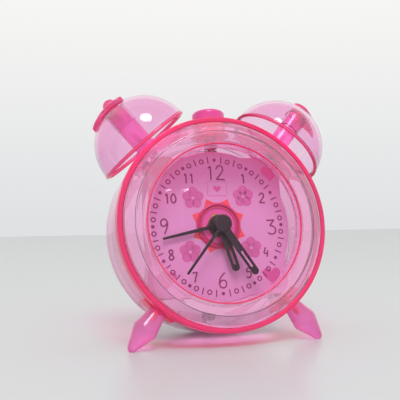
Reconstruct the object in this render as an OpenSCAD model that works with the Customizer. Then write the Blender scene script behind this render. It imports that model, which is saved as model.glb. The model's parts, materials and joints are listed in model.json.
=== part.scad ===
// Twin-bell quartz alarm clock in clear pink plastic, leaning back on two turned legs.
// The clock is drawn face-on (x right, y up, z towards the viewer) and then stood up by posed().
// "Depth" is the distance behind the front plane of the rim ring.

/* [Case] */
// Outer diameter of the rim ring
rim_d = 90; // [86:0.5:108]
// Radial thickness of the rim ring
rim_wall = 2; // [1.6:0.1:2.4]
// Width of the rim ring, front to back
rim_len = 5.6; // [5:0.1:6.5]
// Depth of the case from the rim's front plane to the back
case_depth = 37; // [36.5:0.5:46]
// Wall thickness of the clear case
case_wall = 1.8; // [1.4:0.1:2.2]
// Rounding of the case's rear edge
rear_round = 3; // [2:0.1:3.6]
// Outer diameter of the raised clear crest on the bezel
crest_d = 76.6; // [74:0.2:79]
// Height of the crest in front of the rim
crest_proud = 2.6; // [1.8:0.1:3.4]
// Diameter of the lens opening
lens_d = 66.6; // [64:0.2:70]
// Thickness of the lens
lens_t = 1.5; // [1.2:0.1:2]

/* [Dial and hands] */
// Diameter of the round part of the dial
dial_d = 64; // [60:0.5:66]
// Side of the square part of the dial
dial_side = 59; // [58.4:0.1:60]
// Depth of the dial's face
dial_depth = 10; // [9.8:0.1:10.4]
// Length of the hour hand
hour_hand_len = 20.5; // [14:0.5:24]
// Length of the minute hand
minute_hand_len = 25.5; // [18:0.5:29]
// Length of the second hand
second_hand_len = 26.5; // [18:0.5:29]
// Length of the alarm hand
alarm_hand_len = 25.5; // [14:0.5:28]
// Clock angle that the hour hand shows
hour_angle = 164; // [0:1:359]
// Clock angle that the minute hand shows
minute_angle = 147; // [0:1:359]
// Clock angle that the second hand shows
second_angle = 219; // [0:1:359]
// Clock angle that the alarm hand shows
alarm_angle = 258; // [0:1:359]

/* [Bells] */
// Outer radius of each bell
bell_r = 21.1; // [17:0.1:22.5]
// Wall thickness of each bell
bell_wall = 1.3; // [0.9:0.1:1.8]
// Clock angle of each bell's post
bell_angle = 40.2; // [38:0.2:46]
// Depth of the bell posts' axes
bell_depth = 11.8; // [11.5:0.1:13]
// Gap between the case and the middle of the bell's mouth
bell_gap = 2.3; // [1.5:0.1:6]
// Radius of the lower part of each post
post_r = 4.5; // [3.8:0.1:5]

/* [Legs and snooze button] */
// Clock angle of each leg, from the top
leg_angle = 140.2; // [136:0.2:146]
// Depth of the legs' axes
leg_depth = 7; // [6.9:0.1:9]
// Distance from the clock's centre to the centre of the leg's round tip
leg_reach = 62.3; // [58:0.1:74]
// Greatest radius of each leg
leg_r = 5.2; // [4.6:0.1:5.8]
// Radius of the round tip
tip_r = 1.9; // [1.6:0.1:2.4]
// Radius of the snooze button
button_r = 7.2; // [5.5:0.1:7.4]
// Depth of the snooze button's axis
button_depth = 14; // [14:0.1:15]
// Height of the snooze button above the case
button_proud = 8.9; // [7:0.1:11]
// Travel of the snooze button
button_travel = 2; // [1:0.1:2.2]

/* [Movement] */
// Side of the square movement housing
move_side = 56; // [55.6:0.1:56.4]
// Depth of the rear of the movement housing
move_back = 28.6; // [28.6:0.1:30]
// Centre distance of the going train's meshes
train_a = 10.08; // [10:0.02:10.4]
// Module of the motion work and alarm gears
motion_m = 0.4; // [0.38:0.01:0.41]
// Module of the rotor pinion's mesh
rotor_m = 0.3; // [0.28:0.01:0.31]
// Radial running clearance of shafts in bores
run = 0.06; // [0.04:0.01:0.09]

/* [Hidden] */
$fn = 96;

clear_pink = [0.93, 0.60, 0.80, 0.45];
hot_pink = [0.88, 0.18, 0.43];
deep_pink = [0.86, 0.31, 0.65];
hand_plum = [0.17, 0.06, 0.15];
brass = [0.80, 0.66, 0.36];
steel = [0.72, 0.73, 0.75];
gear_white = [0.92, 0.92, 0.88];

seat = 0.05;          // gap left between two fixed round fits
cut = 1;              // how far a cutting solid runs past what it cuts
screw_r = 0.9;        // shank radius of the small self-tapping screws
head_r = 2;           // head radius of the small screws
head_t = 0.9;         // head thickness of the small screws
pilot_r = screw_r + 0.02; // hole that a screw's thread bites into

// --- case sizes ---
rim_r = rim_d / 2;
rim_in = rim_r - rim_wall;
skirt_r = rim_in - 2 * seat;              // bezel skirt and case spigot, inside the rim ring
drum_r = rim_in + 0.9;                    // outside of the case behind the rim ring
rear_r = drum_r - 0.1;
bore_r = drum_r - case_wall;              // inside of the case wall
joint_depth = rim_len - 2;                // where the bezel's skirt meets the case's spigot
crest_r = crest_d / 2;
lens_r = lens_d / 2;
ledge_depth = case_depth - 2;             // the back cover lies on this ledge
ledge_t = 1.6;
cover_r = rear_r - rear_round - 1.3;
ledge_r = cover_r - 3;
cover_screw_r = cover_r - 2;              // pitch radius of the back cover's screws
cover_screw_angles = [35, 180, 325];

// --- dial and movement sizes ---
dial_t = 0.8;
dial_round = 5;                           // corner radius of the dial and its carrier
floor_front = dial_depth + dial_t;        // front face of the dial carrier's floor
floor_t = 1.2;
move_front = floor_front + floor_t;       // front face of the movement housing
carrier_side = move_side + 0.6 + 2 * 1.2;
carrier_back = move_front + 8;            // depth where the carrier's walls end
ear_r = 2.2;
ear_pitch = bore_r - 2.4;                 // the carrier's ears sit on the case's bosses
ear_t = 1.4;
boss_r = 1.8;
bush_r = 4;
bush_front = dial_depth - 0.9;
plate_t = 1.4;                            // thickness of the movement's front and back plates
inner_front = move_front + plate_t;
inner_back = move_back - 1.2;
box_wall = 1.2;
box_half = move_side / 2;
corner_r = 5;
bracket_t = 1.1;                          // thickness of the bell brackets

// --- gear train ---
second_pin_m = train_a / 34;              // 8 teeth on the second wheel into 60 on the third
third_pin_m = train_a / 36;               // 8 teeth on the third wheel into 64 on the centre
second_m = train_a / 24;                  // 40 teeth on the second wheel into 8 on the fifth
third_angle = 110;                        // directions, counter-clockwise from the 3 o'clock line
fifth_angle = 30;
rotor_angle = 30;
inter_angle = 330;
time_angle = 0;
alarm_pin_angle = 195;
inter_a = 20 * motion_m;
shaft_r = 1.2;                            // shafts of the two setting knobs
centre_tip = third_pin_m * 32.8;          // tip radius of the centre wheel
// The alarm pinion has the fewest teeth that carry its shaft clear of the centre wheel.
alarm_teeth = ceil(2 * (centre_tip + shaft_r + 0.81) / motion_m) - 32;
alarm_a = (32 + alarm_teeth) / 2 * motion_m;
rotor_a = 28 * rotor_m;
third_pos = polar(train_a, third_angle);
fifth_pos = polar(train_a, fifth_angle);
rotor_pos = fifth_pos + polar(rotor_a, rotor_angle);
inter_pos = polar(inter_a, inter_angle);
time_pos = inter_pos + polar(inter_a, time_angle);
alarm_pos = polar(alarm_a, alarm_pin_angle);
arbor_r = 0.5;
stud_r = 0.6;
second_r = 0.5;
cannon_r = 1.25;
hour_r = 1.95;
alarm_r = 2.65;
// Depth of the front face of each gear layer, and the gears' thickness.
gear_t = 0.8;
alarm_layer = inner_front + 0.4;
hour_layer = inner_front + 1.9;
cannon_layer = inner_front + 3.6;
centre_layer = inner_front + 5.2;
third_layer = inner_front + 6.8;
second_layer = inner_front + 8.4;
fifth_layer = inner_front + 10;

// --- hands ---
second_hand_depth = 3.2;
minute_hand_depth = 4.8;
hour_hand_depth = 6.4;
alarm_hand_depth = 8.2;
hand_t = 0.6;

// --- battery ---
cell_r = 7.25;
cell_len = 49.5;
cell_y = -(centre_tip + 1.066 + cell_r);  // the cell lies clear of the centre wheel
cell_depth = 21.2;
nub_r = 2.75;
nub_len = 1;
window_w = 52;
window_h = 15.6;

// --- stance: the two leg tips and the case's rear corner share one tangent, the table ---
leg_out = 180 - leg_angle;
tip_y = -leg_reach * cos(leg_out);
corner_y = -(rear_r - rear_round);
corner_depth = case_depth - rear_round;
run_y = corner_depth - leg_depth;
rise_z = corner_y - tip_y;
tilt = atan2(rise_z, run_y) + asin((tip_r - rear_round) / norm([run_y, rise_z]));
pad_flat = 0.3;       // height sliced off the tips and the corner, to leave flats
stand_z = leg_depth * sin(tilt) - tip_y * cos(tilt) + tip_r - pad_flat;
front_reach = crest_proud * cos(tilt) + crest_r * sin(tilt);
bell_centre = drum_r + bell_gap;
bell_y = bell_centre * cos(bell_angle);
back_reach = max(bell_depth * cos(tilt) + bell_y * sin(tilt) + bell_r,
    corner_depth * cos(tilt) - corner_y * sin(tilt) + rear_round);
stand_y = (front_reach - back_reach) / 2;

// ---------- helpers ----------
function polar(r, a) = [r * cos(a), r * sin(a)];

// Phase that puts the second gear's gap on the first gear's tooth along the line of centres.
function meshed(line, z1, phase1, z2) =
    line + 180 - (0.5 - (line - phase1) * z1 / 360) * 360 / z2;

module posed() {
    translate([0, stand_y, stand_z]) rotate([90 - tilt, 0, 0]) children();
}

// Children drawn with z pointing radially outwards at a clock angle, and y towards the back.
module on_radius(angle, depth) {
    translate([0, 0, -depth]) rotate([0, 0, -angle]) rotate([-90, 0, 0]) children();
}

module at(p) {
    translate([p[0], p[1], 0]) children();
}

module disc(r, front, back) {
    translate([0, 0, -back]) cylinder(r = r, h = back - front);
}

module tube(outer, inner, front, back) {
    difference() {
        disc(outer, front, back);
        disc(inner, front - cut, back + cut);
    }
}

module slab(front, back) {
    translate([0, 0, -back]) linear_extrude(back - front) children();
}

// A turned solid from a profile of [radius, depth] points.
module turned(profile) {
    rotate_extrude() polygon([for (p = profile) [p[0], -p[1]]]);
}

module rounded_square(side, r) {
    square([side - 2 * r, side], center = true);
    square([side, side - 2 * r], center = true);
    for (i = [-1, 1], j = [-1, 1])
        translate([i * (side / 2 - r), j * (side / 2 - r)]) circle(r);
}

module gear(z, m, front, back, phase = 0) {
    tip = m * (z / 2 + 0.8);
    root = m * (z / 2 - 1.15);
    pitch = 360 / z;
    slab(front, back) polygon([
        for (i = [0 : z - 1])
            for (p = [[root, -0.2], [tip, -0.09], [tip, 0.09], [root, 0.2]])
                polar(p[0], phase + pitch * (i + p[1]))
    ]);
}

// A round wire swept along a helix of the given radii, from z = 0 up.
module coil_spring(r_low, r_high, wire, height, turns) {
    steps = 12 * turns;
    sides = 8;
    function centre(k) =
        let (a = 30 * k, r = r_low + (r_high - r_low) * k / steps)
        [r * cos(a), r * sin(a), wire + (height - 2 * wire) * k / steps];
    function ring_point(k, j) =
        let (a = 30 * k, b = 360 * j / sides, c = centre(k))
        [c[0] + wire * cos(b) * cos(a), c[1] + wire * cos(b) * sin(a), c[2] + wire * sin(b)];
    points = [for (k = [0 : steps]) for (j = [0 : sides - 1]) ring_point(k, j)];
    sides_faces = [
        for (k = [0 : steps - 1]) for (j = [0 : sides - 1])
            let (a = k * sides + j, b = k * sides + (j + 1) % sides)
            [a, a + sides, b + sides, b]
    ];
    first_cap = [for (j = [0 : sides - 1]) j];
    last_cap = [for (j = [sides - 1 : -1 : 0]) steps * sides + j];
    polyhedron(points, concat([first_cap], sides_faces, [last_cap]), convexity = 10);
}

// ---------- case ----------
module drum_wall() {
    inner_round = rear_round - case_wall + 0.4;
    turned(concat(
        [[skirt_r, joint_depth + 0.1], [skirt_r, rim_len + 0.1], [drum_r, rim_len + 0.1]],
        [for (a = [0 : 7.5 : 90])
            [rear_r - rear_round * (1 - cos(a)), case_depth - rear_round * (1 - sin(a))]],
        [[cover_r + 0.15, case_depth], [cover_r + 0.15, ledge_depth]],
        [[ledge_r, ledge_depth], [ledge_r, ledge_depth - ledge_t]],
        [for (a = [90 : -15 : 0])
            [bore_r - inner_round * (1 - cos(a)),
             ledge_depth - ledge_t - inner_round * (1 - sin(a))]],
        [[bore_r, joint_depth + 0.1]]
    ));
}

module case_body() color(clear_pink) table_cut() posed() difference() {
    union() {
        drum_wall();
        for (a = [45, 135, 225, 315])
            rotate([0, 0, a]) {
                translate([ear_pitch, 0, 0]) disc(boss_r, carrier_back, ledge_depth - 1);
                translate([ear_pitch, -0.8, -(ledge_depth - 1)])
                    cube([bore_r + 0.5 - ear_pitch, 1.6, ledge_depth - 1 - carrier_back]);
            }
        for (a = cover_screw_angles)
            at(polar(cover_screw_r, 90 - a)) disc(2, ledge_depth - 6, ledge_depth - 0.5);
    }
    on_radius(0, button_depth) translate([0, 0, bore_r - 6]) cylinder(r = button_r + 0.25, h = 12);
    for (side = [-1, 1]) {
        on_radius(side * bell_angle, bell_depth) cylinder(r = 1.3, h = rim_r + cut);
        on_radius(side * leg_angle, leg_depth) cylinder(r = 1.1, h = rim_r + cut);
    }
    for (a = [45, 135, 225, 315])
        at(polar(ear_pitch, a)) disc(pilot_r, carrier_back - cut, carrier_back + 7);
    for (a = cover_screw_angles)
        at(polar(cover_screw_r, 90 - a)) disc(pilot_r, ledge_depth - 5.5, ledge_depth + cut);
}

module rim_ring() color(hot_pink) posed() turned([
    [rim_in, 0], [rim_r - 0.4, 0], [rim_r, 0.4],
    [rim_r, rim_len - 0.4], [rim_r - 0.4, rim_len], [rim_in, rim_len]
]);

module front_bezel() color(clear_pink) posed() turned([
    [skirt_r, joint_depth], [skirt_r, 0.4], [skirt_r - 1, -0.3],
    [crest_r + 0.7, -crest_proud + 0.4], [crest_r - 0.4, -crest_proud],
    [crest_r - 2, -crest_proud + 0.2], [lens_r, -1.4], [lens_r, -0.9 + lens_t],
    [lens_r - 1.4, -0.9 + lens_t], [lens_r - 1.4, 1.7 + lens_t - 0.9],
    [lens_r + 1.4, 1.7 + lens_t - 0.9], [lens_r + 1.4, 0.1],
    [crest_r - 0.3, -crest_proud + 1.6], [skirt_r - 2.2, 1.2],
    [skirt_r - 1.4, 1.7], [skirt_r - 1.4, joint_depth]
]);

module lens() color([0.96, 0.82, 0.92, 0.3]) posed()
    disc(lens_r - 0.2, -0.9, -0.9 + lens_t);

// ---------- rear ----------
switch_pos = [-23, 16];
switch_travel = 5;
buzzer_pos = [0, 19];
buzzer_r = 10;

module back_cover() color(clear_pink) posed() difference() {
    disc(cover_r, ledge_depth, case_depth);
    at([0, cell_y]) translate([0, 0, -(case_depth + cut)])
        linear_extrude(4) square([window_w, window_h], center = true);
    at([0, cell_y]) translate([0, 0, -(case_depth + cut)])
        linear_extrude(cut + 1.1) square([window_w + 3, window_h + 3], center = true);
    at(time_pos) disc(shaft_r + 0.3, ledge_depth - cut, case_depth + cut);
    at(alarm_pos) disc(shaft_r + 0.3, ledge_depth - cut, case_depth + cut);
    at(switch_pos) slab(ledge_depth - cut, case_depth + cut)
        translate([-2.2, -3.2]) square([4.4, 6.4 + switch_travel]);
    for (row = [-1 : 1])
        at(buzzer_pos + [0, 4.5 * row]) slab(ledge_depth - cut, case_depth + cut)
            square([12 - 3 * abs(row), 1.6], center = true);
    for (a = cover_screw_angles) {
        at(polar(cover_screw_r, 90 - a)) disc(screw_r + 0.15, ledge_depth - cut, case_depth + cut);
        at(polar(cover_screw_r, 90 - a)) disc(head_r + 0.2, case_depth - head_t, case_depth + cut);
    }
}

module battery_door() color(clear_pink) posed() at([0, cell_y]) difference() {
    union() {
        slab(case_depth - 1, case_depth)
            square([window_w + 2.4, window_h + 2.4], center = true);
        slab(case_depth - 2.4, case_depth - 1)
            square([window_w - 0.8, window_h - 0.8], center = true);
    }
    translate([0, 0, -(case_depth - 1)]) linear_extrude(3)
        square([window_w - 4, window_h - 4], center = true);
    for (i = [-2 : 2])
        translate([18 + 1.6 * i, 0, -case_depth - 0.2]) linear_extrude(0.6)
            square([0.6, 8], center = true);
}

module alarm_switch() color(deep_pink) posed() at(switch_pos) {
    slab(ledge_depth - 1.4, ledge_depth - 0.3) square([7, 9], center = true);
    slab(ledge_depth - 0.4, case_depth + 1) square([3.8, 5.8], center = true);
}

module buzzer() color([0.2, 0.2, 0.22]) posed() at(buzzer_pos) {
    tube(buzzer_r, buzzer_r - 1, ledge_depth - 4, ledge_depth);
    disc(buzzer_r - 0.5, ledge_depth - 4.4, ledge_depth - 3);
}

module knob(length_front, length_back, r) {
    disc(shaft_r, length_front, case_depth + 0.8);
    difference() {
        disc(r, case_depth + 0.5, length_back);
        for (i = [0 : 15])
            rotate([0, 0, 22.5 * i]) translate([r + 0.25, 0, 0])
                disc(0.6, case_depth, length_back + cut);
    }
}

// ---------- dial ----------
module dial_outline(grow) {
    circle(dial_d / 2 + grow);
    rounded_square(dial_side + 2 * grow, dial_round);
}

module dial_plate() color([0.81, 0.50, 0.73]) posed() slab(dial_depth, floor_front) difference() {
    dial_outline(0);
    circle(bush_r + 0.2);
}

// Each ear is an arm from a corner of the carrier out to a boss of the case.
module carrier_ears() {
    corner = (carrier_side / 2 - dial_round) * sqrt(2);
    for (a = [45, 135, 225, 315])
        rotate([0, 0, a]) {
            translate([ear_pitch, 0]) circle(ear_r);
            translate([corner, -ear_r]) square([ear_pitch - corner, 2 * ear_r]);
        }
}

module dial_carrier() color([0.90, 0.55, 0.78, 0.7]) posed() difference() {
    union() {
        slab(floor_front, move_front) dial_outline(0.4);
        slab(move_front, carrier_back) difference() {
            rounded_square(carrier_side, dial_round);
            rounded_square(move_side + 0.6, corner_r + 0.2);
        }
        slab(carrier_back - ear_t, carrier_back) difference() {
            carrier_ears();
            rounded_square(move_side + 0.6, corner_r + 0.2);
        }
        on_radius(0, button_depth) translate([0, 0, carrier_side / 2 - 0.5])
            cylinder(r = spring_r + 0.5, h = 2.6);
    }
    disc(bush_r + 0.2, 0, case_depth);
    on_radius(0, button_depth) translate([0, 0, carrier_side / 2]) cylinder(r = stem_r + 0.4, h = 6);
    for (a = [45, 135, 225, 315])
        at(polar(ear_pitch, a)) {
            disc(screw_r + 0.15, carrier_back - 3, carrier_back + cut);
            disc(head_r + 0.2, 0, carrier_back - ear_t);
        }
}

module dial_collar() color([0.85, 0.12, 0.35]) posed() difference() {
    tube(8.6, 6.4, dial_depth - 0.7, dial_depth);
    tube(9, 8.2, dial_depth - 1, dial_depth - 0.5);
}

module dial_nut() color(brass) posed() slab(bush_front + 0.1, dial_depth) difference() {
    circle(5.6, $fn = 6);
    circle(bush_r + seat);
}

// ---------- hands ----------
module pointing(clock_angle) {
    rotate([0, 0, 90 - clock_angle]) children();
}

// A hand with a long slot and a round tip, pointing along x.
module slotted_hand(length, width) {
    end_r = width / 2;
    difference() {
        union() {
            translate([0, -0.45 * width]) square([length - end_r, 0.9 * width]);
            translate([length - end_r, 0]) circle(0.45 * width);
        }
        translate([0.56 * length, -0.14 * width]) square([0.28 * length, 0.28 * width]);
    }
}

module alarm_hand() color(hand_plum) posed() pointing(alarm_angle)
    slab(alarm_hand_depth, alarm_hand_depth + 0.5) difference() {
        union() {
            circle(4.6);
            polygon([[0, -0.8], [alarm_hand_len, -0.5], [alarm_hand_len, 0.5], [0, 0.8]]);
        }
        circle(alarm_r);
    }

module hour_hand() color(hand_plum) posed() pointing(hour_angle)
    slab(hour_hand_depth, hour_hand_depth + hand_t) difference() {
        union() {
            circle(3.6);
            slotted_hand(hour_hand_len, 3.8);
        }
        circle(hour_r);
    }

module minute_hand() color(hand_plum) posed() pointing(minute_angle)
    slab(minute_hand_depth, minute_hand_depth + hand_t) difference() {
        union() {
            circle(3.2);
            slotted_hand(minute_hand_len, 3.5);
        }
        circle(cannon_r);
    }

module second_hand() color(hand_plum) posed() pointing(second_angle) difference() {
    union() {
        slab(second_hand_depth + 0.3, second_hand_depth + 0.8)
            polygon([[0, -0.7], [second_hand_len, -0.5], [second_hand_len, 0.5], [0, 0.7]]);
        disc(3.8, second_hand_depth, second_hand_depth + 1);
    }
    disc(second_r, second_hand_depth + 0.4, second_hand_depth + 2);
}

// ---------- movement ----------
module movement_walls(front, back) {
    slab(front, back) difference() {
        rounded_square(move_side, corner_r);
        rounded_square(move_side - 2 * box_wall, corner_r - box_wall);
    }
}

split_depth = third_layer;
pillar_pos = [box_half - 3.4, box_half - 3.4];

module movement_front() color([0.82, 0.82, 0.84]) posed() difference() {
    union() {
        slab(move_front, inner_front) rounded_square(move_side, corner_r);
        movement_walls(inner_front - 0.1, split_depth);
        disc(bush_r, bush_front, inner_front);
        at(inter_pos) disc(stud_r, inner_front - 0.1, cannon_layer + 1.1);
        for (side = [-1, 1])
            at([side * pillar_pos[0], pillar_pos[1]]) disc(1.7, inner_front - 0.1, split_depth);
        at([stator_right - 1.3, 7]) disc(1.2, inner_front - 0.1, stator_depth);
        at([stator_left + 1.1, 16.2]) disc(1, inner_front - 0.1, stator_depth);
    }
    disc(alarm_r + run, bush_front - cut, inner_front + cut);
    for (p = [third_pos, fifth_pos, rotor_pos])
        at(p) disc(arbor_r + run, inner_front - 0.8, inner_front + cut);
    for (p = [time_pos, alarm_pos])
        at(p) disc(shaft_r + run, inner_front - 0.8, inner_front + cut);
    for (side = [-1, 1])
        at([side * pillar_pos[0], pillar_pos[1]]) disc(pilot_r, split_depth - 5, split_depth + cut);
}

module movement_back() color([0.82, 0.82, 0.84]) posed() difference() {
    union() {
        slab(inner_back, move_back) rounded_square(move_side, corner_r);
        movement_walls(split_depth + 0.02, inner_back + 0.1);
        for (side = [-1, 1])
            at([side * pillar_pos[0], pillar_pos[1]]) disc(1.7, split_depth + 0.02, inner_back + 0.1);
        for (p = [[-20, -5], [-20, 19]])
            at(p) disc(1.4, board_back, inner_back + 0.1);
    }
    at([0, cell_y]) slab(inner_back - cut, move_back + cut) square([window_w, window_h], center = true);
    for (p = [third_pos, fifth_pos, rotor_pos, [0, 0]])
        at(p) disc(arbor_r + run, inner_back - cut, inner_back + 0.8);
    for (p = [time_pos, alarm_pos])
        at(p) disc(shaft_r + run, inner_back - cut, move_back + cut);
    for (side = [-1, 1])
        at([side * pillar_pos[0], pillar_pos[1]]) disc(screw_r + 0.15, split_depth - cut, move_back + cut);
}

// Phases of the meshed gears, each from the gear before it.
fifth_phase = meshed(fifth_angle, 40, 0, 8);
fifth_wheel_phase = 0;
rotor_phase = meshed(rotor_angle, 48, fifth_wheel_phase, 8);
third_phase = meshed(third_angle, 8, 0, 60);
third_pinion_phase = 0;
centre_phase = meshed(third_angle + 180, 8, third_pinion_phase, 64);
inter_phase = meshed(inter_angle, 10, 0, 30);
inter_pinion_phase = 0;
hour_phase = meshed(inter_angle + 180, 8, inter_pinion_phase, 32);
time_phase = meshed(time_angle, 30, inter_phase, 10);
alarm_pin_phase = meshed(alarm_pin_angle, 32, 0, alarm_teeth);

module alarm_wheel() color(gear_white) posed() difference() {
    union() {
        gear(32, motion_m, alarm_layer, alarm_layer + gear_t);
        disc(alarm_r, alarm_hand_depth, alarm_layer + 0.1);
    }
    disc(hour_r + run, 0, case_depth);
}

module hour_wheel() color(gear_white) posed() difference() {
    union() {
        gear(32, motion_m, hour_layer, hour_layer + gear_t, hour_phase);
        disc(hour_r, hour_hand_depth, hour_layer + 0.1);
    }
    disc(cannon_r + run, 0, case_depth);
}

module cannon_pinion() color(brass) posed() difference() {
    union() {
        gear(10, motion_m, cannon_layer, cannon_layer + gear_t);
        disc(cannon_r, minute_hand_depth, cannon_layer + gear_t + 0.4);
    }
    disc(second_r + run, 0, case_depth);
}

module intermediate_wheel() color(gear_white) posed() at(inter_pos) difference() {
    union() {
        gear(30, motion_m, cannon_layer, cannon_layer + gear_t, inter_phase);
        gear(8, motion_m, hour_layer - 0.2, cannon_layer + 0.1, inter_pinion_phase);
    }
    disc(stud_r + run, 0, case_depth);
}

module centre_wheel() color(brass) posed() difference() {
    union() {
        gear(64, third_pin_m, centre_layer, centre_layer + gear_t, centre_phase);
        disc(2, centre_layer - 0.2, centre_layer + gear_t + 0.4);
    }
    disc(second_r + run, 0, case_depth);
}

module arbor(front, back) {
    disc(arbor_r, front, back);
}

module third_wheel() color(gear_white) posed() at(third_pos) {
    gear(60, second_pin_m, third_layer, third_layer + gear_t, third_phase);
    gear(8, third_pin_m, centre_layer - 0.2, third_layer + 0.1, third_pinion_phase);
    arbor(inner_front - 0.6, inner_back + 0.6);
}

module second_wheel() color(gear_white) posed() {
    gear(40, second_m, second_layer, second_layer + gear_t);
    gear(8, second_pin_m, third_layer - 0.2, second_layer + 0.1);
    disc(second_r, second_hand_depth + 0.4, inner_back + 0.6);
}

module fifth_wheel() color(gear_white) posed() at(fifth_pos) {
    gear(48, rotor_m, fifth_layer, fifth_layer + gear_t, fifth_wheel_phase);
    gear(8, second_m, second_layer - 0.2, fifth_layer + 0.1, fifth_phase);
    arbor(inner_front - 0.6, inner_back + 0.6);
}

magnet_r = 2.2;
stator_depth = third_layer;
stator_t = 0.8;
stator_left = fifth_pos[0] + arbor_r + 0.67; // the stator's edge passes beside the fifth wheel's arbor
stator_right = box_half - 2.5;
stator_low = 5.2;
leg_w = 2.3;          // width of the stator's two upright limbs

module rotor() color([0.35, 0.36, 0.38]) posed() at(rotor_pos) {
    disc(magnet_r, stator_depth - 0.8, stator_depth + 1.6);
    gear(8, rotor_m, fifth_layer - 0.2, fifth_layer + gear_t + 0.2, rotor_phase);
    arbor(inner_front - 0.6, inner_back + 0.6);
}

coil_pos = [stator_left + leg_w + 0.2, 19];
coil_len = stator_right - leg_w - 0.2 - coil_pos[0];
coil_r = 3.2;

module stator() color(steel) posed() slab(stator_depth, stator_depth + stator_t) difference() {
    union() {
        translate([stator_left, stator_low]) square([stator_right - stator_left, 8.2]);
        for (x = [stator_left, stator_right - leg_w])
            translate([x, stator_low]) square([leg_w, 15.8]);
        translate([stator_left, stator_low + 13]) square([stator_right - stator_left, 1.6]);
    }
    at(rotor_pos) circle(magnet_r + 0.5);
}

module coil() color([0.72, 0.36, 0.16]) posed()
    translate([coil_pos[0], coil_pos[1], -(stator_depth + stator_t / 2)]) rotate([0, 90, 0])
        difference() {
            union() {
                cylinder(r = coil_r - 0.5, h = coil_len);
                for (z = [0, coil_len - 0.7])
                    translate([0, 0, z]) cylinder(r = coil_r, h = 0.7);
            }
            translate([0, 0, -cut]) cylinder(r = 1.05, h = coil_len + 2 * cut);
        }

board_back = inner_back - 1.2;
board_t = 1;
board_front = board_back - board_t;
board_right = alarm_pos[0] - shaft_r - 1.58; // the board stops short of the alarm knob's shaft

module circuit_board() color([0.16, 0.45, 0.25]) posed() slab(board_front, board_back)
    translate([-26, -8]) square([26 + board_right, 30]);

module driver_chip() color([0.1, 0.1, 0.11]) posed() at([-20, 13]) turned([
    [0, board_front - 1.3], [1.6, board_front - 1.1], [2.7, board_front - 0.5],
    [3, board_front], [0, board_front]
]);

module quartz_crystal() color(steel) posed() translate([-20, -1, -(board_front - 1.05)])
    rotate([-90, 0, 0]) cylinder(r = 1, h = 6);

module time_knob() color(deep_pink) posed() at(time_pos) {
    knob(inner_front - 0.6, case_depth + 2.6, 4.5);
    gear(10, motion_m, cannon_layer - 0.1, cannon_layer + gear_t + 0.1, time_phase);
}

module alarm_knob() color(deep_pink) posed() at(alarm_pos) {
    knob(inner_front - 0.6, case_depth + 2.6, 4.5);
    gear(alarm_teeth, motion_m, alarm_layer, alarm_layer + gear_t, alarm_pin_phase);
}

// ---------- battery ----------
cell_left = -24.9;

module battery() color([0.25, 0.3, 0.42]) posed()
    translate([cell_left, cell_y, -cell_depth]) rotate([0, 90, 0]) {
        cylinder(r = cell_r, h = cell_len);
        translate([0, 0, cell_len - 0.1]) cylinder(r = nub_r, h = nub_len + 0.1);
    }

module battery_spring() color(steel) posed()
    translate([-(box_half - box_wall), cell_y, -cell_depth]) rotate([0, 90, 0])
        coil_spring(4.6, 2.4, 0.3, cell_left + box_half - box_wall - 0.02, 2);

module battery_contact() color(steel) posed()
    translate([cell_left + cell_len + nub_len, cell_y - 4, -(cell_depth + 5)])
        cube([0.5, 8, 10]);

// ---------- snooze button ----------
spring_r = 2.5;
stem_r = 1.4;
stem_low = carrier_side / 2 + button_travel + 1.6;
collar_low = bore_r - 2.7;
button_top = drum_r + button_proud;

module snooze_button() color(deep_pink) posed() on_radius(0, button_depth) {
    difference() {
        union() {
            rotate_extrude() polygon(concat(
                [[0, collar_low], [button_r, collar_low]],
                [for (a = [0 : 15 : 90])
                    [button_r - 1.6 * (1 - cos(a)), button_top - 1.2 - 1.6 * (1 - sin(a))]],
                [[0, button_top - 0.6]]
            ));
            translate([0, 0, button_top - 1.6]) cylinder(r1 = button_r - 1.4, r2 = 2.4, h = 1.6);
            translate([0, 0, collar_low]) cylinder(r = button_r + 1, h = 1.3);
        }
        translate([0, 0, collar_low - cut]) cylinder(r = button_r - 1.4, h = button_top - collar_low - 1.6);
    }
    translate([0, 0, stem_low]) cylinder(r = stem_r, h = button_top - stem_low - 1.6);
    translate([0, 0, collar_low]) cylinder(r = spring_r + 0.8, h = 1);
}

module button_spring() color(steel) posed() on_radius(0, button_depth)
    translate([0, 0, carrier_side / 2 + 2.12])
        coil_spring(spring_r, spring_r, 0.35, collar_low - carrier_side / 2 - 2.14, 5);

// ---------- bells ----------
sleeve_low = 11;      // start of the bell's inner sleeve above the mouth
shoulder = 10.7;      // height of the post's shoulder above the mouth
neck_r = 4;
spigot_r = 2.6;
apex = bell_centre + bell_r;

module bell(side) on_radius(side * bell_angle, bell_depth) translate([0, 0, bell_centre]) {
    difference() {
        intersection() {
            sphere(bell_r);
            cylinder(r = bell_r + cut, h = bell_r + cut);
        }
        sphere(bell_r - bell_wall);
        cylinder(r = spigot_r + 0.1, h = bell_r + cut);
    }
    rotate_extrude() translate([bell_r - 0.6, 0]) circle(1, $fn = 32);
    difference() {
        intersection() {
            sphere(bell_r - 0.4);
            translate([0, 0, sleeve_low]) cylinder(r = neck_r + 0.9, h = bell_r);
        }
        cylinder(r = neck_r + 0.1, h = sqrt(pow(bell_r - bell_wall, 2) - pow(neck_r, 2)));
        cylinder(r = spigot_r + 0.1, h = bell_r + cut);
    }
}

module case_barrel() {
    disc(drum_r + seat, -cut, case_depth);
    disc(rim_r + seat, -cut, rim_len + seat);
}

// A curved pad that lies on the case round a post or leg.
module saddle(side, angle, depth, half_width, half_length) {
    intersection() {
        disc(drum_r + 1.6, depth - half_length, depth + half_length);
        on_radius(side * angle, depth)
            translate([-half_width, -half_length, 0])
                cube([2 * half_width, 2 * half_length, rim_r + 8]);
    }
}

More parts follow.
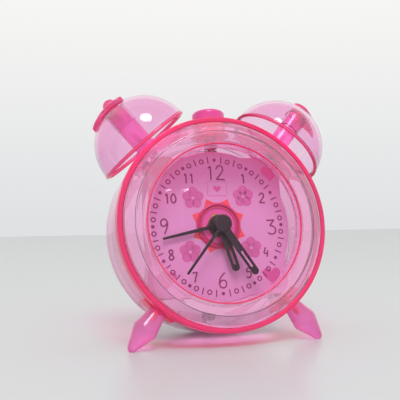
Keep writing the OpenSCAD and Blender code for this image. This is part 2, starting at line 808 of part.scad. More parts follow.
module bell_post(side) difference() {
    union() {
        on_radius(side * bell_angle, bell_depth) {
            translate([0, 0, drum_r - 1]) cylinder(r = post_r, h = bell_gap + shoulder + 1);
            translate([0, 0, bell_centre]) cylinder(r = neck_r, h = bell_r - bell_wall - 0.6);
            translate([0, 0, bell_centre])
                cylinder(r = spigot_r, h = sqrt(bell_r * bell_r - spigot_r * spigot_r));
        }
        saddle(side, bell_angle, bell_depth, 6, 6);
    }
    case_barrel();
    on_radius(side * bell_angle, bell_depth) {
        cylinder(r = screw_r + 0.05, h = drum_r + 9);
        translate([0, 0, apex - 7]) cylinder(r = 1.3, h = 10);
    }
}

module heart(tip) {
    lobe = 3.9;
    for (j = [-1, 1]) {
        centre = [-1.3, 3.2 * j];
        reach = norm([tip, 0] - centre);
        lean = atan2(centre[1], centre[0] - tip) - j * asin(lobe / reach);
        touch = [tip, 0] + polar(sqrt(reach * reach - lobe * lobe), lean);
        translate(centre) circle(lobe);
        polygon([[tip, 0], touch, centre, [centre[0], 0]]);
    }
}

// Heart-shaped cap that hugs the dome, with a round knob and a pin down into the post.
module bell_cap(side) on_radius(side * bell_angle, bell_depth) mirror([side < 0 ? 1 : 0, 0, 0]) {
    translate([0, 0, bell_centre]) difference() {
        intersection() {
            sphere(bell_r + 2.2);
            linear_extrude(bell_r + 4) heart(13);
        }
        sphere(bell_r + seat);
    }
    translate([0, 0, apex + 2.6]) sphere(2.3);
    translate([0, 0, apex - 6.5]) cylinder(r = 1.25, h = 8);
}

module bell_bracket(side) difference() {
    slab(bell_depth - 3.4, bell_depth + 3.4) difference() {
        intersection() {
            circle(bore_r - 0.15);
            polygon([[0, 0], polar(60, 90 - side * 16), polar(60, 90 - side * 37),
                     polar(60, 90 - side * 58)]);
        }
        circle(bore_r - 0.15 - bracket_t);
    }
    on_radius(side * bell_angle, bell_depth) cylinder(r = screw_r + 0.15, h = rim_r);
}

module bell_left() color(clear_pink) posed() bell(-1);
module bell_right() color(clear_pink) posed() bell(1);
module bell_post_left() color(deep_pink) posed() bell_post(-1);
module bell_post_right() color(deep_pink) posed() bell_post(1);
module bell_cap_left() color(hot_pink) posed() bell_cap(-1);
module bell_cap_right() color(hot_pink) posed() bell_cap(1);
module bell_bracket_left() color(deep_pink) posed() bell_bracket(-1);
module bell_bracket_right() color(deep_pink) posed() bell_bracket(1);

// ---------- legs ----------
module leg_profile() {
    knee = leg_reach - 8.6;
    slope = atan2(leg_r, leg_reach - knee) - asin(tip_r / norm([leg_r, leg_reach - knee]));
    polygon(concat(
        [[0, drum_r - 1], [3.6, drum_r - 1], [3.8, drum_r + 2.4], [leg_r - 0.2, knee - 1.2]],
        [[leg_r, knee]],
        [for (a = [slope : (90 - slope) / 8 : 90.01]) [tip_r * cos(a), leg_reach + tip_r * sin(a)]]
    ));
}

module foot(side) difference() {
    union() {
        on_radius(side * leg_angle, leg_depth) rotate_extrude() leg_profile();
        saddle(side, leg_angle, leg_depth + 2.6, 7.4, 4.6);
    }
    case_barrel();
    on_radius(side * leg_angle, leg_depth) cylinder(r = screw_r + 0.05, h = drum_r + 7);
}

// Slices off what would reach below the table, to leave a flat.
module table_cut() {
    difference() {
        children();
        translate([-100, -100, -20]) cube([200, 200, 20]);
    }
}

module foot_left() color(deep_pink) table_cut() posed() foot(-1);
module foot_right() color(deep_pink) table_cut() posed() foot(1);

// ---------- screws ----------
module screw(shank, head = head_r) {
    cylinder(r = screw_r, h = shank);
    difference() {
        translate([0, 0, -head_t]) cylinder(r = head, h = head_t);
        for (a = [0, 90])
            rotate([0, 0, a]) translate([-1.1, -0.25, -head_t - 0.3]) cube([2.2, 0.5, 0.9]);
    }
}

module case_screws() color(steel) posed()
    for (a = cover_screw_angles)
        at(polar(cover_screw_r, 90 - a)) translate([0, 0, -(case_depth - head_t)]) screw(6);

module carrier_screws() color(steel) posed()
    for (a = [45, 135, 225, 315])
        at(polar(ear_pitch, a)) translate([0, 0, -(carrier_back - ear_t)])
            mirror([0, 0, 1]) screw(7, 1.9);

module movement_screws() color(steel) posed()
    for (side = [-1, 1])
        at([side * pillar_pos[0], pillar_pos[1]]) translate([0, 0, -move_back])
            screw(move_back - split_depth + 4.5);

module bell_screws() color(steel) posed()
    for (side = [-1, 1])
        on_radius(side * bell_angle, bell_depth) translate([0, 0, bore_r - 0.2 - bracket_t]) screw(9);

module foot_screws() color(hot_pink) posed()
    for (side = [-1, 1])
        on_radius(side * leg_angle, leg_depth) translate([0, 0, bore_r - 0.1]) screw(8);

case_body();
rim_ring();
front_bezel();
lens();
back_cover();
battery_door();
dial_plate();
dial_carrier();
dial_collar();
dial_nut();
alarm_hand();
hour_hand();
minute_hand();
second_hand();
movement_front();
movement_back();
alarm_wheel();
hour_wheel();
cannon_pinion();
intermediate_wheel();
centre_wheel();
third_wheel();
second_wheel();
fifth_wheel();
rotor();
stator();
coil();
circuit_board();
driver_chip();
quartz_crystal();
time_knob();
alarm_knob();
alarm_switch();
buzzer();
battery();
battery_spring();
battery_contact();
snooze_button();
button_spring();
bell_left();
bell_right();
bell_post_left();
bell_post_right();
bell_cap_left();
bell_cap_right();
bell_bracket_left();
bell_bracket_right();
foot_left();
foot_right();
case_screws();
carrier_screws();
movement_screws();
bell_screws();
foot_screws();
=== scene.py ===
import json
import math

import bmesh
import bpy
from mathutils import Matrix, Vector


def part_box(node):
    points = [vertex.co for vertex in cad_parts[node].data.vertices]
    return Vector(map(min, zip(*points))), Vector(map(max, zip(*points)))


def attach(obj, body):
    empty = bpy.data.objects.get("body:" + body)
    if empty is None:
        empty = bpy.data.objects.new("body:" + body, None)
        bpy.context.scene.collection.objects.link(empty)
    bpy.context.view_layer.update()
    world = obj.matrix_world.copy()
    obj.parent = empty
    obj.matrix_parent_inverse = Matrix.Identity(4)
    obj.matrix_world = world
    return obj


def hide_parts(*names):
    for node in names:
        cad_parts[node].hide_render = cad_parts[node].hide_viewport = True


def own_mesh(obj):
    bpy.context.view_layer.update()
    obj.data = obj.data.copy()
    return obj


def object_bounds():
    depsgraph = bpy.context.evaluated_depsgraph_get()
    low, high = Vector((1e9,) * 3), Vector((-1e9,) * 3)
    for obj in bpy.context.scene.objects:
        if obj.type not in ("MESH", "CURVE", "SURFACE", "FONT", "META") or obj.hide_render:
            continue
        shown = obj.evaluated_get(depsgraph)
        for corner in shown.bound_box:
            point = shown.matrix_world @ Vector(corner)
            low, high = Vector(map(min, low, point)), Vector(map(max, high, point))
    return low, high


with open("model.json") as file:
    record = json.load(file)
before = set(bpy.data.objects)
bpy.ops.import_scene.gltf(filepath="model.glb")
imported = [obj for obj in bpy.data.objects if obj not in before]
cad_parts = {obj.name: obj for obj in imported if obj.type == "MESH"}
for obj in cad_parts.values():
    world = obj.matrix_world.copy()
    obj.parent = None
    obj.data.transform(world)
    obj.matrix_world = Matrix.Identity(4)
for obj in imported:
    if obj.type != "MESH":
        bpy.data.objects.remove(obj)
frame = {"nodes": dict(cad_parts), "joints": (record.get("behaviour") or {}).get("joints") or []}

cad_low, cad_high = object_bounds()
parts = frame["nodes"]

# --- Case ---
# The drum, its back cover and the battery cover are clear pink polystyrene mouldings.
# The drum carries everything else, and three screws hold the cover in its rear ledge.
MM = 0.001
rim_len = 5.6
drum_r = 43.9

# Sizes are millimetres on the clock's own axes: x right, y up, z towards the viewer,
# from the middle of the rim ring's front plane. STAND leans the clock back on its legs.
second_spin = next(joint for joint in frame["joints"] if joint["name"] == "second_spin")
into_dial = Vector(second_spin["axis"]).normalized()
across = Vector((1, 0, 0))
rim_low, rim_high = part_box("rim_ring")
rim_front = (rim_low + rim_high) / 2 - into_dial * (rim_len / 2 * MM)
axes = Matrix((across, across.cross(into_dial), -into_dial)).transposed().to_4x4()
STAND = Matrix.Translation(rim_front) @ axes @ Matrix.Scale(MM, 4)


def colour(red, green, blue):
    """A screen colour, 0 to 255 a channel, as the linear values that Blender works in."""
    channels = [value / 255 for value in (red, green, blue)]
    return [c / 12.92 if c < 0.04045 else ((c + 0.055) / 1.055) ** 2.4 for c in channels] + [1]


def add_node(tree, kind, inputs, **settings):
    """Adds a node. An input that is given a socket is linked to it, any other is set."""
    node = tree.nodes.new(kind)
    for name, value in settings.items():
        setattr(node, name, value)
    for name, value in inputs.items():
        if isinstance(value, bpy.types.NodeSocket):
            tree.links.new(value, node.inputs[name])
        else:
            node.inputs[name].default_value = value
    return node


def mixed_colour(tree, factor, first, second):
    """The colour socket of a node that goes from first to second as factor goes from 0 to 1."""
    mix = add_node(tree, "ShaderNodeMix", {0: factor, 6: first, 7: second}, data_type="RGBA")
    return mix.outputs[2]


def new_material(name):
    """An empty node material and its output node."""
    material = bpy.data.materials.new(name)
    material.use_nodes = True
    material.node_tree.nodes.clear()
    return material, add_node(material.node_tree, "ShaderNodeOutputMaterial", {})


def moulded_surface_group():
    """What every moulding shows: cloudy flow marks in the colour and a faint ripple in the skin."""
    group = bpy.data.node_groups.new("moulded_surface", "ShaderNodeTree")
    for name, kind in (("Colour", "NodeSocketColor"), ("Flow Colour", "NodeSocketColor"),
                       ("Flow", "NodeSocketFloat"), ("Flow Scale", "NodeSocketFloat"),
                       ("Ripple Scale", "NodeSocketFloat")):
        group.interface.new_socket(name=name, in_out="INPUT", socket_type=kind)
    group.interface.new_socket(name="Colour", in_out="OUTPUT", socket_type="NodeSocketColor")
    group.interface.new_socket(name="Ripple", in_out="OUTPUT", socket_type="NodeSocketFloat")
    given = add_node(group, "NodeGroupInput", {}).outputs
    place = add_node(group, "ShaderNodeTexCoord", {}).outputs["Object"]
    flow = add_node(group, "ShaderNodeTexNoise",
                    {"Vector": place, "Scale": given["Flow Scale"], "Detail": 3.0, "Distortion": 0.8})
    amount = add_node(group, "ShaderNodeMath", {0: flow.outputs["Fac"], 1: given["Flow"]},
                      operation="MULTIPLY")
    tinted = mixed_colour(group, amount.outputs[0], given["Colour"], given["Flow Colour"])
    ripple = add_node(group, "ShaderNodeTexNoise",
                      {"Vector": place, "Scale": given["Ripple Scale"], "Detail": 2.0})
    add_node(group, "NodeGroupOutput", {"Colour": tinted, "Ripple": ripple.outputs["Fac"]})
    return group


MOULDED = moulded_surface_group()


def moulded(tree, skin, flow_skin, flow=0.6, flow_scale=60.0, ripple_scale=160.0):
    """The moulded surface group placed in a material with its own values."""
    return add_node(tree, "ShaderNodeGroup",
                    {"Colour": skin, "Flow Colour": flow_skin, "Flow": flow,
                     "Flow Scale": flow_scale, "Ripple Scale": ripple_scale},
                    node_tree=MOULDED)


def rippled(tree, surface, distance, strength=0.5):
    """The normal of a skin that carries the moulded surface's ripple."""
    bump = add_node(tree, "ShaderNodeBump", {"Height": surface.outputs["Ripple"],
                                             "Distance": distance, "Strength": strength})
    return bump.outputs["Normal"]


def clear_plastic(name, face, edge, roughness=0.02, edge_blend=0.25, clarity=1.0, coat=0.0,
                  bend=1.45, ripple=0.00002):
    """Clear dyed plastic: it bends light, goes from face to edge colour where it is seen
    on edge, and lets lamp light through to what is inside."""
    material, output = new_material(name)
    tree = material.node_tree
    surface = moulded(tree, face, edge, flow=0.25)
    grazing = add_node(tree, "ShaderNodeLayerWeight", {"Blend": edge_blend}).outputs["Facing"]
    dye = mixed_colour(tree, grazing, surface.outputs["Colour"], edge)
    plastic = add_node(tree, "ShaderNodeBsdfPrincipled",
                       {"Base Color": dye, "Roughness": roughness, "IOR": bend,
                        "Transmission Weight": clarity, "Coat Weight": coat,
                        "Coat Roughness": 0.03, "Normal": rippled(tree, surface, ripple)})
    see_through = add_node(tree, "ShaderNodeBsdfTransparent", {"Color": face})
    shadow = add_node(tree, "ShaderNodeLightPath", {}).outputs["Is Shadow Ray"]
    lit = add_node(tree, "ShaderNodeMixShader",
                   {0: shadow, 1: plastic.outputs[0], 2: see_through.outputs[0]})
    tree.links.new(lit.outputs[0], output.inputs["Surface"])
    return material


def finish_node(material, *names):
    """Gives CAD nodes their material."""
    for name in names:
        parts[name].data.materials[0] = material


case_plastic = clear_plastic("case_plastic", colour(255, 219, 240), colour(246, 160, 204),
                             bend=1.4)
finish_node(case_plastic, "case_body", "back_cover", "battery_door")

# --- Movement ---
# A quartz movement in a grey two-part nylon housing: white and brass wheels, a magnet rotor
# between the stator's poles, a copper coil, and a green board with its chip and crystal.
def opaque_plastic(name, skin, flow_skin, roughness=0.35, **grain):
    """Solid-coloured moulded plastic or painted card."""
    material, output = new_material(name)
    tree = material.node_tree
    surface = moulded(tree, skin, flow_skin, **grain)
    plastic = add_node(tree, "ShaderNodeBsdfPrincipled",
                       {"Base Color": surface.outputs["Colour"], "Roughness": roughness,
                        "Normal": rippled(tree, surface, distance=0.00003)})
    tree.links.new(plastic.outputs[0], output.inputs["Surface"])
    return material


housing = opaque_plastic("housing_plastic", colour(196, 186, 196), colour(160, 148, 160),
                         roughness=0.45)
wheel_nylon = opaque_plastic("wheel_nylon", colour(236, 234, 226), colour(216, 212, 200))
board = opaque_plastic("circuit_board_green", colour(44, 116, 66), colour(70, 142, 84),
                       roughness=0.3, flow=0.9, flow_scale=500.0)
dark_resin = opaque_plastic("dark_resin", colour(34, 33, 36), colour(54, 52, 56), roughness=0.4)
magnet = opaque_plastic("magnet_ferrite", colour(72, 72, 76), colour(96, 94, 96), roughness=0.5)


def turned_metal(name, skin, tarnish):
    """Machined metal with a fine tool grain and a little tarnish."""
    material, output = new_material(name)
    tree = material.node_tree
    surface = moulded(tree, skin, tarnish, flow=0.7, flow_scale=220.0, ripple_scale=2600.0)
    metal = add_node(tree, "ShaderNodeBsdfPrincipled",
                     {"Base Color": surface.outputs["Colour"], "Metallic": 1.0,
                      "Roughness": 0.25,
                      "Normal": rippled(tree, surface, distance=0.00002, strength=0.4)})
    tree.links.new(metal.outputs[0], output.inputs["Surface"])
    return material


brass = turned_metal("brass", colour(208, 172, 96), colour(160, 120, 60))
steel = turned_metal("steel", colour(190, 192, 196), colour(140, 140, 146))


def wound_copper():
    """Lacquered copper wire in close turns round the coil's axis, which lies along x,
    with painted shade in the grooves between the turns.
    """
    material, output = new_material("wound_copper")
    tree = material.node_tree
    place = add_node(tree, "ShaderNodeTexCoord", {}).outputs["Object"]
    turns = add_node(tree, "ShaderNodeTexWave", {"Vector": place, "Scale": 1400.0},
                     bands_direction="X")
    # Painted shade: each turn goes dark where the bump dips between turns and light on its crest.
    copper_and_painted_groove_shade = mixed_colour(tree, turns.outputs["Fac"], colour(120, 52, 24), colour(214, 122, 66))
    bump = add_node(tree, "ShaderNodeBump", {"Height": turns.outputs["Fac"], "Distance": 0.00008})
    copper = add_node(tree, "ShaderNodeBsdfPrincipled",
                      {"Base Color": copper_and_painted_groove_shade, "Metallic": 0.8, "Roughness": 0.3,
                       "Normal": bump.outputs["Normal"]})
    tree.links.new(copper.outputs[0], output.inputs["Surface"])
    return material


def cell_sleeve():
    """The AA cell's printed sleeve: plain blue-grey with a copper-coloured band at its plus end."""
    plus_band_x = 12 * MM
    material, output = new_material("cell_sleeve")
    tree = material.node_tree
    place = add_node(tree, "ShaderNodeTexCoord", {}).outputs["Object"]
    along = add_node(tree, "ShaderNodeSeparateXYZ", {"Vector": place}).outputs["X"]
    banded = add_node(tree, "ShaderNodeMath", {0: along, 1: plus_band_x}, operation="GREATER_THAN")
    sleeve = mixed_colour(tree, banded.outputs[0], colour(66, 76, 104), colour(190, 128, 84))
    surface = moulded(tree, sleeve, colour(90, 98, 122), flow=0.3)
    foil = add_node(tree, "ShaderNodeBsdfPrincipled",
                    {"Base Color": surface.outputs["Colour"], "Metallic": 0.5, "Roughness": 0.32})
    tree.links.new(foil.outputs[0], output.inputs["Surface"])
    return material


finish_node(housing, "movement_front", "movement_back")
finish_node(wheel_nylon, "alarm_wheel", "hour_wheel", "intermediate_wheel", "third_wheel",
            "second_wheel", "fifth_wheel")
finish_node(brass, "cannon_pinion", "centre_wheel", "dial_nut")
finish_node(steel, "stator", "quartz_crystal", "battery_contact", "battery_spring",
            "case_screws", "carrier_screws", "movement_screws", "bell_screws")
finish_node(wound_copper(), "coil")
finish_node(cell_sleeve(), "battery")
finish_node(board, "circuit_board")
finish_node(dark_resin, "driver_chip", "buzzer")
finish_node(magnet, "rotor")

# --- Controls on the back ---
# Two fluted setting knobs and the alarm's slide switch, moulded in solid magenta plastic.
# Each knob is one piece with its shaft, and the switch slides in a slot of the back cover.
control_plastic = opaque_plastic("control_plastic", colour(222, 96, 170), colour(200, 70, 150),
                                 roughness=0.25)
finish_node(control_plastic, "time_knob", "alarm_knob", "alarm_switch")

# --- Dial ---
# A pink printed card on a frosted pink carrier that holds the movement. Numbers, minute track,
# flowers and hearts are print a few hundredths of a millimetre thick.
dial_front = -10.0
dial_r = 32.0
dial_half = 29.5
dial_t = 0.8
corner_r = 5.0
ink_t = 0.04
bush_hole_r = 4.2

carrier_plastic = opaque_plastic("carrier_plastic", colour(232, 128, 196), colour(210, 100, 170),
                                 roughness=0.5)
finish_node(carrier_plastic, "dial_carrier")


def on_clock(angle, radius=0.0, height=0.0):
    """A point at a clock angle, in degrees from 12, and a radius from the centre."""
    turn = math.radians(angle)
    return Vector((radius * math.sin(turn), radius * math.cos(turn), height))


def stood(name, mesh_build, finish):
    """Stands a mesh that was built face-on in millimetres on the table, as a new object."""
    sharp_above = math.radians(30)
    bmesh.ops.transform(mesh_build, matrix=STAND, verts=mesh_build.verts)
    mesh = bpy.data.meshes.new(name)
    mesh_build.to_mesh(mesh)
    mesh_build.free()
    for face in mesh.polygons:
        face.use_smooth = True
    mesh.set_sharp_from_angle(angle=sharp_above)
    mesh.materials.append(finish)
    piece = bpy.data.objects.new(name, mesh)
    bpy.context.scene.collection.objects.link(piece)
    return piece


def closed(mesh_build):
    """Merges a built mesh's doubles and turns its faces outwards."""
    weld_distance = 0.0005
    bmesh.ops.remove_doubles(mesh_build, verts=mesh_build.verts, dist=weld_distance)
    bmesh.ops.recalc_face_normals(mesh_build, faces=mesh_build.faces)
    return mesh_build


def thickened(mesh_build, faces, thickness):
    """Raises flat faces by a thickness towards the viewer, into a closed slab."""
    raised = bmesh.ops.extrude_face_region(mesh_build, geom=faces, use_keep_orig=True)["geom"]
    moved = [item for item in raised if isinstance(item, bmesh.types.BMVert)]
    bmesh.ops.translate(mesh_build, verts=moved, vec=(0, 0, thickness))


def disc(mesh_build, centre, radius, thickness, sides=32):
    """A flat round slab with its low face at centre."""
    made = bmesh.ops.create_circle(mesh_build, cap_ends=True, radius=radius, segments=sides,
                                   matrix=Matrix.Translation(centre))
    thickened(mesh_build, made["verts"][0].link_faces[:], thickness)


def dial_card():
    """The card: a square with rounded corners over a disc, with a hole for the bush."""
    card = bmesh.new()
    circle_steps = 180
    straight_half = dial_half - corner_r
    dial_back = dial_front - dial_t
    outline = []
    for step in range(circle_steps):
        turn = 2 * math.pi * step / circle_steps
        side = Vector((math.cos(turn), math.sin(turn)))
        reach = dial_half / max(abs(side.x), abs(side.y))
        corner = Vector((math.copysign(straight_half, side.x),
                         math.copysign(straight_half, side.y)))
        if min(abs(side.x), abs(side.y)) * reach > straight_half:
            along = side.dot(corner)
            reach = along + math.sqrt(along ** 2 - corner.length_squared + corner_r ** 2)
        outline.append(card.verts.new((*(side * max(reach, dial_r)), dial_back)))
    outer_edges = [card.edges.new((outline[i - 1], outline[i])) for i in range(circle_steps)]
    bmesh.ops.create_circle(card, cap_ends=False, radius=bush_hole_r, segments=circle_steps,
                            matrix=Matrix.Translation((0, 0, dial_back)))
    hole_edges = [edge for edge in card.edges if edge not in outer_edges]
    bmesh.ops.bridge_loops(card, edges=outer_edges + hole_edges)
    thickened(card, card.faces[:], dial_t)
    return closed(card)


def dial_paint():
    """Pink print with a faint paper mottle, and painted shade that darkens the top of the card."""
    shade_start = rim_front.z + 10 * MM
    shade_end = rim_front.z + 20 * MM
    material, output = new_material("dial_paint")
    tree = material.node_tree
    place = add_node(tree, "ShaderNodeTexCoord", {}).outputs["Object"]
    height = add_node(tree, "ShaderNodeSeparateXYZ", {"Vector": place}).outputs["Z"]
    # The top of the card is painted darker: painted shade for the shadow that the bezel and rim ring
    # cast on it.
    painted_shade_amount = add_node(tree, "ShaderNodeMapRange",
                     {"Value": height, "From Min": shade_start, "From Max": shade_end})
    print_and_painted_shade = mixed_colour(tree, painted_shade_amount.outputs[0], colour(212, 160, 200), colour(192, 130, 174))
    surface = moulded(tree, print_and_painted_shade, colour(206, 146, 190), flow=0.35, flow_scale=90.0,
                      ripple_scale=1500.0)
    paint = add_node(tree, "ShaderNodeBsdfPrincipled",
                     {"Base Color": surface.outputs["Colour"], "Roughness": 0.4,
                      "Normal": rippled(tree, surface, distance=0.00002, strength=0.3)})
    tree.links.new(paint.outputs[0], output.inputs["Surface"])
    return material


dial = stood("dial_card", dial_card(), dial_paint())
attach(dial, "case")
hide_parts("dial_plate")

# The numbers are handwritten: each digit is one to three pen strokes in a box one unit high.
ink = opaque_plastic("dial_ink", colour(142, 44, 100), colour(120, 34, 84), roughness=0.5)
pen_r = 0.34
DIGITS = {
    "0": [[(0.25, 1), (0.0, 0.75), (0.0, 0.25), (0.25, 0), (0.5, 0.25), (0.5, 0.75), (0.25, 1)]],
    "1": [[(0.05, 0.8), (0.22, 0.98), (0.24, 0.9), (0.24, 0.0)]],
    "2": [[(0.02, 0.76), (0.1, 0.98), (0.42, 1.04), (0.56, 0.74), (0.3, 0.36), (0.0, 0.02)],
          [(0.0, 0.02), (0.3, 0.05), (0.62, 0.0)]],
    "3": [[(0.0, 0.98), (0.3, 0.96), (0.56, 1.0)], [(0.56, 1.0), (0.22, 0.6)],
          [(0.22, 0.6), (0.6, 0.56), (0.66, 0.14), (0.34, -0.06), (0.04, 0.1)]],
    "4": [[(0.26, 1.0), (0.04, 0.4)], [(0.04, 0.4), (0.52, 0.32)], [(0.46, 0.66), (0.36, 0.0)]],
    "5": [[(0.54, 1.0), (0.14, 0.98)], [(0.14, 0.98), (0.08, 0.58)],
          [(0.08, 0.58), (0.42, 0.72), (0.6, 0.34), (0.36, -0.04), (0.02, 0.1)]],
    "6": [[(0.46, 1.0), (0.16, 0.76), (0.0, 0.36), (0.08, 0.0), (0.44, -0.04), (0.56, 0.3),
           (0.4, 0.52), (0.1, 0.44), (0.04, 0.26)]],
    "7": [[(0.0, 0.94), (0.5, 1.0)], [(0.5, 1.0), (0.3, 0.5), (0.2, 0.0)]],
    "8": [[(0.44, 0.86), (0.26, 1.04), (0.02, 0.86), (0.12, 0.62), (0.4, 0.44), (0.54, 0.18),
           (0.26, -0.06), (0.0, 0.18), (0.12, 0.42), (0.42, 0.6), (0.44, 0.86)]],
    "9": [[(0.48, 0.78), (0.36, 0.5), (0.06, 0.54), (0.0, 0.88), (0.3, 1.06), (0.5, 0.84),
           (0.5, 0.5), (0.26, 0.0)]],
}


def meshed(curve):
    """A curve as a mesh that is still being built."""
    holder = bpy.data.objects.new(curve.name, curve)
    mesh_build = bmesh.new()
    mesh_build.from_mesh(bpy.data.meshes.new_from_object(holder))
    bpy.data.objects.remove(holder)
    return mesh_build


def pen_strokes(strokes, pen, smooth=True):
    """Flat ribbons with round ends along lists of points, as a mesh in millimetres."""
    drawn = bpy.data.curves.new("pen_strokes", "CURVE")
    drawn.dimensions = "3D"
    drawn.bevel_depth = pen
    drawn.bevel_resolution = 1
    drawn.resolution_u = 6
    drawn.use_fill_caps = True
    for stroke in strokes:
        line = drawn.splines.new("NURBS" if smooth and len(stroke) > 2 else "POLY")
        line.points.add(len(stroke) - 1)
        for point, (x, y) in zip(line.points, stroke):
            point.co = (x, y, 0, 1)
        if line.type == "NURBS":
            line.order_u = 3
            line.use_endpoint_u = True
    flat = meshed(drawn)
    bmesh.ops.scale(flat, vec=(1, 1, ink_t / pen), verts=flat.verts)
    bmesh.ops.translate(flat, vec=(0, 0, dial_front + ink_t), verts=flat.verts)
    return closed(flat)


def written(text, centre, height):
    """The strokes of a number, centred on a point of the dial."""
    digit_width = 0.5
    step = 0.62 if "1" in text else 0.72
    width = step * (len(text) - 1) + digit_width
    strokes = []
    for place, digit in enumerate(text):
        left = centre[0] + height * (place * step - width / 2)
        strokes += [[(left + height * x, centre[1] + height * (y - 0.5)) for x, y in stroke]
                    for stroke in DIGITS[digit]]
    return strokes


# The hand-lettered numbers stand a little off their true places, and the quarters are bigger.
strays = {1: (1.0, 0), 3: (0.5, -1.0), 7: (0, -1.0), 8: (-1.0, 0), 9: (-0.8, 0)}
quarter_r, quarter_height = 23.0, 6.2
small_r, small_height = 23.6, 4.2
numbers = []
for hour in range(1, 13):
    number_r, number_height = ((quarter_r, quarter_height) if hour % 3 == 0
                               else (small_r, small_height))
    spot = on_clock(30 * hour, number_r) + Vector((*strays.get(hour, (0, 0)), 0))
    numbers += written(str(hour), spot, number_height)
numerals = stood("dial_numerals", pen_strokes(numbers, pen_r), ink)
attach(numerals, "case")

# The minute track round the numbers: pen ticks, with rings between them and dots at the hours.
track_r, track_pen_r = 28.6, 0.27
tick_half, mark_ring_r, mark_ring_in, hour_dot_r = 1.5, 0.95, 0.2, 0.75
marks = []
for minute in range(60):
    angle = 6 * minute
    if minute % 5 == 0:
        continue
    if minute % 2:
        marks.append([on_clock(angle, track_r - tick_half)[:2],
                      on_clock(angle, track_r + tick_half)[:2]])
    else:
        centre = on_clock(angle, track_r - mark_ring_in)
        marks.append([(centre + on_clock(45 * turn, mark_ring_r))[:2] for turn in range(9)])
track_mesh = pen_strokes(marks, track_pen_r)
for hour in range(12):
    disc(track_mesh, on_clock(30 * hour, track_r, dial_front), hour_dot_r, ink_t)
track = stood("dial_minute_track", track_mesh, ink)
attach(track, "case")

# Four five-petal flowers between the big numbers, four hearts in the card's corners,
# and a plain plaque with a heart on it under the 12.
petal_paint = opaque_plastic("petal_paint", colour(206, 112, 170), colour(190, 92, 150),
                             roughness=0.5, flow_scale=140.0)
heart_paint = opaque_plastic("heart_paint", colour(206, 96, 160), colour(190, 80, 146),
                             roughness=0.5)
orange_paint = opaque_plastic("orange_paint", colour(236, 82, 92), colour(222, 60, 84),
                              roughness=0.5)


def heart_outline(centre, size):
    """A heart's outline round a point, as a closed list of points."""
    points = 40
    curve_width = 32
    outline = []
    for step in range(points + 1):
        t = 2 * math.pi * step / points
        x = 16 * math.sin(t) ** 3
        y = 13 * math.cos(t) - 5 * math.cos(2 * t) - 2 * math.cos(3 * t) - math.cos(4 * t)
        outline.append(tuple(Vector(centre) + Vector((x, y)) * (size / curve_width)))
    return outline


def flat_shape(mesh_build, outline, low, thickness):
    """A flat slab with the given outline."""
    corners = [mesh_build.verts.new((x, y, low)) for x, y in outline[:-1]]
    thickened(mesh_build, [mesh_build.faces.new(corners)], thickness)


flower_spots = [(-10.6, 12.0), (12.0, 12.6), (-13.2, -10.8), (14.0, -9.8)]
petal_r, petal_out, eye_r, outline_pen_r = 2.05, 2.6, 1.2, 0.13
petals = bmesh.new()
flower_lines = []
for x, y in flower_spots:
    for petal in range(5):
        middle = Vector((x, y, dial_front)) + on_clock(72 * petal, petal_out)
        disc(petals, middle, petal_r, ink_t, sides=24)
        flower_lines.append([(middle + on_clock(72 * petal + lean, petal_r))[:2]
                             for lean in range(-110, 111, 22)])
    flower_lines.append([(Vector((x, y, 0)) + on_clock(30 * turn, eye_r))[:2]
                         for turn in range(13)])
flowers = stood("dial_flowers", closed(petals), petal_paint)
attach(flowers, "case")

outlines = stood("dial_flower_outlines", pen_strokes(flower_lines, outline_pen_r), heart_paint)
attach(outlines, "case")

corner_heart, plaque_heart = 8, 3.4
heart_mesh = bmesh.new()
for spot, size in (((25.2, 23.0), corner_heart), ((22.4, -21.6), corner_heart),
                   ((-23.6, -21.8), corner_heart), ((-25.2, 23.0), corner_heart),
                   ((0.4, 16.0), plaque_heart)):
    flat_shape(heart_mesh, heart_outline(spot, size), dial_front, ink_t)
hearts = stood("dial_hearts", closed(heart_mesh), heart_paint)
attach(hearts, "case")

plaque_x, plaque_y, plaque_pen_r, scallop_drop = 0.4, 16.2, 0.12, 0.7
plaque_half = Vector((4.3, 2.9))
plaque_line = [(plaque_x + plaque_half.x * sx, plaque_y + plaque_half.y * sy)
               for sx, sy in ((-1, -1), (-1, 1), (1, 1), (1, -1))]
scallops = [(plaque_x + plaque_half.x - plaque_half.x * step / 4,
             plaque_y - plaque_half.y - (scallop_drop if step % 2 else 0.0)) for step in range(9)]
plaque = stood("dial_plaque", pen_strokes([plaque_line + scallops], plaque_pen_r, smooth=False),
               heart_paint)
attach(plaque, "case")

# --- Dial collar ---
# A crimson moulded ring pressed round the hands' bush, on a printed star of eight orange
# points. A paler magenta disc fills the ring.
collar_paint = opaque_plastic("collar_plastic", colour(190, 38, 96), colour(212, 76, 140),
                              roughness=0.22, flow=0.3)
inner_collar_paint = opaque_plastic("collar_inner", colour(226, 96, 170), colour(206, 70, 150),
                                    roughness=0.25)


def lathe(mesh_build, profile, steps=128, end_to_end=True):
    """Turns a profile of (radius, height) points round z. It is closed unless it meets the axis."""
    points = [mesh_build.verts.new((radius, 0, height)) for radius, height in profile]
    lines = [mesh_build.edges.new(pair) for pair in zip(points, points[1:])]
    if end_to_end:
        lines.append(mesh_build.edges.new((points[-1], points[0])))
    bmesh.ops.spin(mesh_build, geom=points + lines, cent=(0, 0, 0), axis=(0, 0, 1),
                   angle=2 * math.pi, steps=steps, use_merge=True)
    return closed(mesh_build)


def arc(centre, radius, start, end, steps=8):
    """Points on an arc of a profile, from one angle to another, in degrees."""
    turns = [math.radians(start + (end - start) * step / steps) for step in range(steps + 1)]
    return [(centre[0] + radius * math.cos(t), centre[1] + radius * math.sin(t)) for t in turns]


